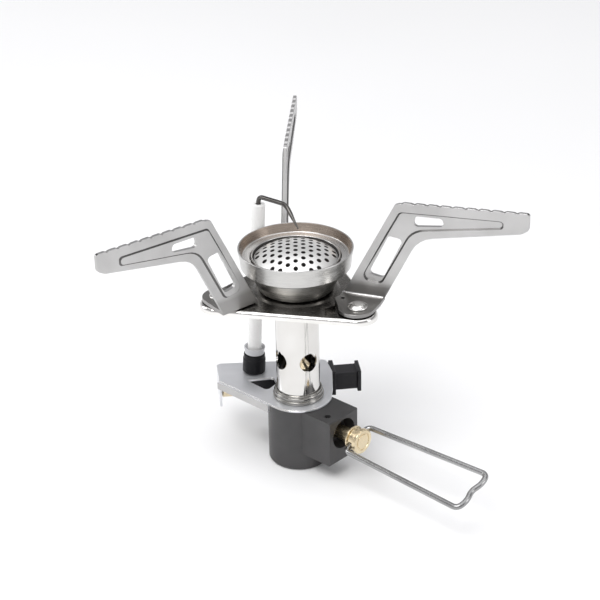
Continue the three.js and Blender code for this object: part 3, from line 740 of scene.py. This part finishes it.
def arm_foot():
    outline = [(6.5, ARM_OUTER), (HEEL, ARM_OUTER), (HEEL, 6.5, 1), (-9.6, 4.2, 1), (-6.8, -0.4, 1)]
    outline += [*arc(6.2, 183, 357, 29, x=-0.4), (6.5, 5)]
    return sheet("foot", [rounded(outline)], FOOT_LOW, FOOT_TOP, 0.14)


def arm_fillet():
    """Fills the inside of the bend between foot and leg."""
    into = 0.2
    outline = [(ARM_INNER + into, FOOT_TOP - into), (ARM_INNER + into, FOOT_TOP + BEND),
               (ARM_INNER, FOOT_TOP + BEND), (ARM_INNER - 0.08, FOOT_TOP + 0.26),
               (ARM_INNER - 0.26, FOOT_TOP + 0.08), (ARM_INNER - BEND, FOOT_TOP),
               (ARM_INNER - BEND, FOOT_TOP - into)]
    return prism("fillet", outline, HEEL + 0.3, LEG_FRONT - 0.2, LAID)


def arm_solid(side):
    windows = [[(0.8, 10, 1.3), (6.1, 9, 1.3), (13, 24.1, 1.3), (7.8, 24.8, 1.3)],
               [(16.2, 29.3, 1.3), (27, 30.6, 1.3), (26.2, 33.4, 1.3), (17, 33.2, 1.3)]]
    windows = [rounded(w, 5) for w in windows]
    arm = sheet("arm_" + side, [arm_outline(), *windows], -ARM_OUTER, -ARM_INNER, 0.14, UPRIGHT)
    raised = stamp("high", (-0.18, ARM_OUTER - 0.2), (0.45, ARM_OUTER + 0.5))
    sunk = stamp("low", (-0.07, ARM_INNER - 0.3), (0.65, ARM_INNER + 0.5))
    combine(arm, [raised, arm_foot(), arm_fillet()])
    through = [prism("window", w, -ARM_OUTER - 1, -ARM_INNER + 1, UPRIGHT) for w in windows]
    rivet_hole = rod("rivet_hole", RIVET_HOLE_R, -1, 3)
    small_hole = rod("small_hole", 0.7, -1, 3, moved(-6.7, 4.8, 0), 24)
    cut(arm, [sunk, *through, rivet_hole, small_hole])
    clean(arm)
    round_edges(arm, lambda x, y, z: abs(y - ARM_OUTER) < 0.2 and z < FOOT_LOW + 0.2, 1.2)
    return soften(arm, 0.1, 40)


def point_inside(x, y, ring):
    """True when the point lies inside the closed ring."""
    inside = False
    for (ax, ay), (bx, by) in zip(ring, ring[1:] + ring[:1]):
        if (ay > y) != (by > y) and x < ax + (bx - ax) * (y - ay) / (by - ay):
            inside = not inside
    return inside


def arm_looks(side, place):
    """(material, test) pairs for an arm that was set at place."""
    home = place.inverted()
    turned_home = home.to_3x3()
    rim, field = emboss(-0.1), emboss(0.75)
    middle = (ARM_INNER + ARM_OUTER) / 2

    # Painted shade and painted reflection on the sloped walls round each stamped field.
    def pressed_edge_painted_shade(at, facing):
        return (at.z > 5 and 0.2 < abs(facing.y) < 0.97 and abs(at.y - middle) < 1.2
                and point_inside(at.x, at.z, rim) and not point_inside(at.x, at.z, field))

    # Painted shade on the sides of the teeth, in the notches between them.
    def notch_painted_shade(at, facing):
        return (side != "rear" and at.z > 36.8 and 12 < at.x < 55
                and abs(facing.y) < 0.4 and abs(facing.x) > 0.4)

    # Painted shade on the foot's top and bottom faces.
    def foot_top_painted_shade(at, facing):
        return at.y < ARM_INNER - 0.5 and at.z < FOOT_TOP + 0.2 and abs(facing.z) > 0.5

    # Painted highlight: the bend's upward faces keep the undarkened satin steel.
    def bend_painted_highlight(at, facing):
        return (ARM_INNER - BEND < at.y < ARM_INNER and FOOT_TOP < at.z < FOOT_TOP + BEND
                and abs(facing.y) > 0.15 and facing.z > 0.15)

    def from_home(test):
        return lambda centre, normal: test(home @ centre, turned_home @ normal)

    looks = [(CREASE_PAINTED_SHADE, pressed_edge_painted_shade), (CREASE_PAINTED_SHADE, notch_painted_shade), (FOOT_PAINTED_SHADE, foot_top_painted_shade), (SATIN, bend_painted_highlight)]
    return [(material, from_home(test)) for material, test in looks]


def build_arm(side):
    hinge = about_z(CORNERS[side]) @ moved(HINGE_R, 0, PLATE_TOP)
    place = hinge @ about_z(ARM_ANGLES[side])
    arm = arm_solid(side)
    arm.data.transform(place)
    piece(arm, ARM_STEEL_PAINTED_SHADE[side], "arm_" + side, ["pot_arm_" + side], angle=8,
          extra=arm_looks(side, place))

    seat = FOOT_TOP + 0.1
    tail = [(0, -1.8), (2.1, -1.8, 0.4), (2.6, -1.2, 0.3), (2.6, -0.9), (1.6, -0.9), (1.6, seat)]
    head = [(3.5, seat, 0.1), (3.4, seat + 0.45, 0.5), (2.2, seat + 1.15, 1.2), (0, seat + 1.2)]
    rivet = lathe("rivet_" + side, tail + head, hinge, 64, 6)
    piece(rivet, MIRROR, "base", ["arm_rivet_" + side])


# ---- Burner ----------------------------------------------------------------------------------
def outward(centre, normal):
    """1 for a face that looks away from the burner axis, -1 for one that looks at it."""
    return (centre.x * normal.x + centre.y * normal.y) / centre.xy.length


def build_bowl():
    outside = [(5.2, 67.8), (12.8, 67.8, 1.3), (14.6, 71.6, 6), (15.9, 76.1)]
    inside = [(15.2, 76.1), (13.9, 71.8, 6), (12.4, 68.5, 1), (5.2, 68.5)]
    bowl = lathe("bowl", outside + inside, segments=192, steps=8)
    # Painted shade on the bowl's inner and upward faces.
    piece(bowl, CUP_PAINTED_REFLECTIONS, "base", ["burner_bowl"],
          extra=[(INNER_PAINTED_SHADE, lambda c, n: outward(c, n) < -0.05 or n.z > 0.6)])


def build_cup():
    outside = [(16.1, 76.2), (18.6, 76.2, 0.25), (19.0, 76.6, 0.3), (19.35, 80, 8),
               (19.85, 82.6, 0.2), (19.85, 82.95, 0.12)]
    inside = [(19.3, 82.95, 0.12), (18.3, 79.9, 0.5), (15.7, 79.5, 0.15), (15.7, 78.9),
              (17.9, 79.2, 0.4), (17.9, 76.9, 0.3), (16.1, 76.9)]
    cup = lathe("cup", outside + inside, segments=192, steps=6)
    # Painted highlight: the cup's upward faces, its ledge among them, take the lighter turned steel.
    piece(cup, CUP_PAINTED_REFLECTIONS, "base", ["wind_cup"],
          extra=[(TURNED, lambda c, n: n.z > 0.5),
                 (TINTED, lambda c, n: c.z > 80 and outward(c, n) < 0 and n.z < 0.9)])


def build_ring():
    inner, outer, low, top = 14.8, 15.4, 75.4, 80.1
    ring = lathe("ring", [(inner, low), (outer, low), (outer, top, 0.25), (inner, top, 0.25)],
                 segments=192)
    # Painted shade on the ring's inner face.
    piece(ring, TURNED, "base", ["flame_ring"],
          extra=[(INNER_PAINTED_SHADE, lambda c, n: outward(c, n) < -0.9)])


def flame_holes():
    """Drills for the cap's holes, on a triangular grid."""
    pitch = 3.03
    bm = bmesh.new()
    for i in range(-5, 6):
        for j in range(-5, 6):
            spot = about_z(13) @ Vector((pitch * (i + j / 2), pitch * j * math.sqrt(3) / 2, 0))
            if spot.length < CAP_R - 1.0:
                hole = circle(0.8, 16, spot.x, spot.y)
                add_skin(bm, [at_height(hole, CAP_EDGE_Z - 5), at_height(hole, CAP_EDGE_Z + 7)])
    return to_object("drills", bm)


def build_cap():
    rise, thick, wall_low = 4.2, 0.6, 76.8

    def height(r):
        return CAP_EDGE_Z + rise * (1 - (r / CAP_R) ** 2.7)

    # Painted shade on the cap's underside and the walls of its holes.
    def in_painted_shade(centre, normal):
        return normal.z < 0.2 and (centre.xy.length < CAP_R - 0.3 or centre.z < CAP_EDGE_Z - 0.2)

    radii = [CAP_R * k / 24 for k in range(25)]
    under = [(r * 0.97, height(r) - thick) for r in radii[:-1]]
    wall = [(CAP_R - thick, CAP_EDGE_Z - thick), (CAP_R - thick, wall_low), (CAP_R, wall_low)]
    top = [(r, height(r)) for r in reversed(radii)]
    dome = lathe("dome", under + wall + top)
    cut(dome, [flame_holes()], "MANIFOLD")
    piece(dome, DOMED, "base", ["flame_cap"], angle=45, extra=[(INNER_PAINTED_SHADE, in_painted_shade)])


# ---- Electrode and igniter -------------------------------------------------------------------
def build_electrode():
    """The ceramic, its boot and its sleeve, drawn from the foot up along the lean."""
    turn = ELECTRODE_LEAN.to_track_quat("Z", "Y").to_matrix().to_4x4()
    place = Matrix.Translation(ELECTRODE_FOOT) @ turn
    length = (ELECTRODE_HEAD - ELECTRODE_FOOT).length
    bore, low = 1.05, 2
    stick = lathe("ceramic_rod", [(bore, low), (CERAMIC_R, low), (CERAMIC_R, length, 0.35),
                                  (bore, length, 0.1)], place, 64)
    piece(stick, CERAMIC, "base", ["electrode_ceramic"])
    inner, cable = CERAMIC_R + 0.1, 1.3
    boot = lathe("boot", [(cable, -0.6), (4.1, -0.6, 0.3), (4.1, 4.6, 0.2), (3.85, 4.8, 0.2),
                          (3.85, 6.5, 0.3), (inner, 6.5), (inner, 1.7), (cable, 1.7)], place, 64)
    piece(boot, RUBBER, "base", ["electrode_boot"])
    sleeve = lathe("sleeve", [(inner, 6.6), (3.5, 6.6, 0.2), (3.55, 7.6, 0.5), (3.85, 9.1, 0.15),
                              (3.55, 9.2, 0.15), (2.9, 8.2, 0.3), (inner, 8.1)], place, 64)
    piece(sleeve, SILICONE, "base", ["electrode_sleeve"])


def build_spark_wire():
    start = ELECTRODE_HEAD - ELECTRODE_LEAN * 6
    top = ELECTRODE_HEAD + ELECTRODE_LEAN * 2.7
    route = bent([start, top, (-8.9, 5, 94.3), (-1.4, 3, 88.1)], 2.2)
    thick, taper, tip = 0.8, 0.75, 5
    radii = [thick] * (len(route) - tip)
    radii += [thick * (1 - taper * (k + 1) / tip) for k in range(tip)]
    spark = wire("spark_wire", route, radii)
    piece(spark, SPARK, "base", ["electrode_wire"])


def build_igniter():
    turn = about_z(IGNITER_TURN)
    centre = moved(0, IGNITER_OFFSET, IGNITER_Z) @ ALONG_X

    def bar(name, half_y, half_z, start, end):
        return block(name, (start, IGNITER_OFFSET - half_y, IGNITER_Z - half_z),
                     (end, IGNITER_OFFSET + half_y, IGNITER_Z + half_z))

    shell = combine(bar("housing", 4.2, 4.3, -17.6, 14.2), [bar("flange", 4.6, 4.85, 14, 15.6)])
    cut(shell, [bar("room", 3.65, 3.65, -9, 16), rod("back", 2.8, -19, -8, centre)])
    soften(clean(shell), 0.2, segments=3)
    shell.data.transform(turn)
    piece(shell, PLASTIC, "base", ["igniter_housing"])

    button = combine(bar("button", 3.4, 3.4, 4, 23.8), [bar("cap", 4.1, 4.25, 23.6, 25)])
    cut(button, [rod("well", 2.9, 3, 14, centre)])
    soften(clean(button), 0.22, segments=3)
    button.data.transform(turn)
    piece(button, PLASTIC, "button", ["igniter_button"])

    outer, inner, closed, mouth = 3.9, 3.2, -25.8, -17.8
    cap = lathe("brass_cup", [(0, closed), (outer, closed, 0.5), (outer, mouth, 0.15),
                              (inner, mouth, 0.1), (inner, closed + 0.8), (0, closed + 0.8)],
                turn @ centre, 64)
    piece(cap, BRASS, "base", ["igniter_end_cap"])


def finish_frame():
    """Materials for the CAD nodes that show as they are."""
    looks = ((RUBBER, ("canister_oring", "spindle_oring")),
             (BRASS, ("valve_depressor_pin", "jet_nozzle", "lead_terminal")),
             (CERAMIC, ("piezo_crystal",)),
             (WIRE, ("gas_filter", "spindle_retaining_pin", "arm_washer_right", "arm_washer_rear",
                     "arm_washer_left", "igniter_hammer", "hammer_spring", "button_spring")))
    for material, names in looks:
        for name in names:
            NODES[name].data.materials.clear()
            NODES[name].data.materials.append(material)


# ---- Room, light and camera ------------------------------------------------------------------
def build_floor():
    bm = bmesh.new()
    bmesh.ops.create_circle(bm, cap_ends=True, segments=96, radius=5000)
    floor = to_object("floor", bm)
    floor.data.transform(Matrix.Scale(MM, 4))
    s = Surface("floor", 0.0, 0.8, (0.9, 0.9, 0.9))
    s.colour(s.ramp(s.noise(3), [(0.4, (0.89, 0.89, 0.89)), (0.6, (0.91, 0.91, 0.91))]))
    floor.data.materials.append(s.material)


def build_world():
    """The studio's light by the height of its direction: dark in a band, brightest overhead."""
    world = bpy.data.worlds.new("studio")
    world.use_nodes = True
    bpy.context.scene.world = world
    tree = world.node_tree
    place = tree.nodes.new("ShaderNodeTexCoord")
    parts = tree.nodes.new("ShaderNodeSeparateXYZ")
    ramp = tree.nodes.new("ShaderNodeValToRGB")
    tree.links.new(place.outputs["Generated"], parts.inputs[0])
    tree.links.new(parts.outputs["Z"], ramp.inputs["Fac"])
    tree.links.new(ramp.outputs["Color"], tree.nodes["Background"].inputs["Color"])
    levels = ((0.0, 0.85), (0.28, 0.7), (0.5, 0.28), (0.7, 0.3), (0.86, 1.3), (1.0, 1.6))
    while len(ramp.color_ramp.elements) < len(levels):
        ramp.color_ramp.elements.new(0.5)
    for element, (height, level) in zip(ramp.color_ramp.elements, levels):
        element.position = height
        element.color = (level, level, level * 1.02, 1)


def softbox(name, place, size, power):
    """A rectangular light at place, aimed at the stove's middle."""
    light = bpy.data.lights.new(name, "AREA")
    light.shape = "RECTANGLE"
    light.size, light.size_y = size
    light.energy = power
    holder = bpy.data.objects.new(name, light)
    bpy.context.scene.collection.objects.link(holder)
    holder.location = place
    direction = Vector((0, 0, 0.06)) - Vector(place)
    holder.rotation_euler = direction.to_track_quat("-Z", "Y").to_euler()


def build_lights():
    softbox("key", (0.1, -0.5, 0.8), (0.6, 0.4), 4)
    softbox("left", (-0.7, -0.35, 0.5), (0.3, 0.5), 1.5)
    softbox("right", (0.75, 0.3, 0.45), (0.25, 0.5), 1.2)


def build_camera():
    data = bpy.data.cameras.new("camera")
    data.lens, data.sensor_width = 112.5, 36
    data.clip_start, data.clip_end = 0.01, 20
    camera = bpy.data.objects.new("camera", data)
    bpy.context.scene.collection.objects.link(camera)
    spot = Vector((394.9, -418.8, 358.4)) * MM
    aim = Vector((0.85, 0.80, 62.49)) * MM
    roll = -1.174
    look = (aim - spot).to_track_quat("-Z", "Y").to_matrix().to_4x4()
    camera.matrix_world = Matrix.Translation(spot) @ look @ about_z(roll)
    bpy.context.scene.camera = camera


build_valve_body()
build_spindle()
build_handle()
build_bracket()
build_collar()
build_tube()
build_support()
for arm_side in CORNERS:
    build_arm(arm_side)
build_bowl()
build_cup()
build_ring()
build_cap()
build_electrode()
build_spark_wire()
build_igniter()
finish_frame()
build_floor()
build_world()
build_lights()
build_camera()
bpy.context.scene.view_settings.view_transform = "Standard"
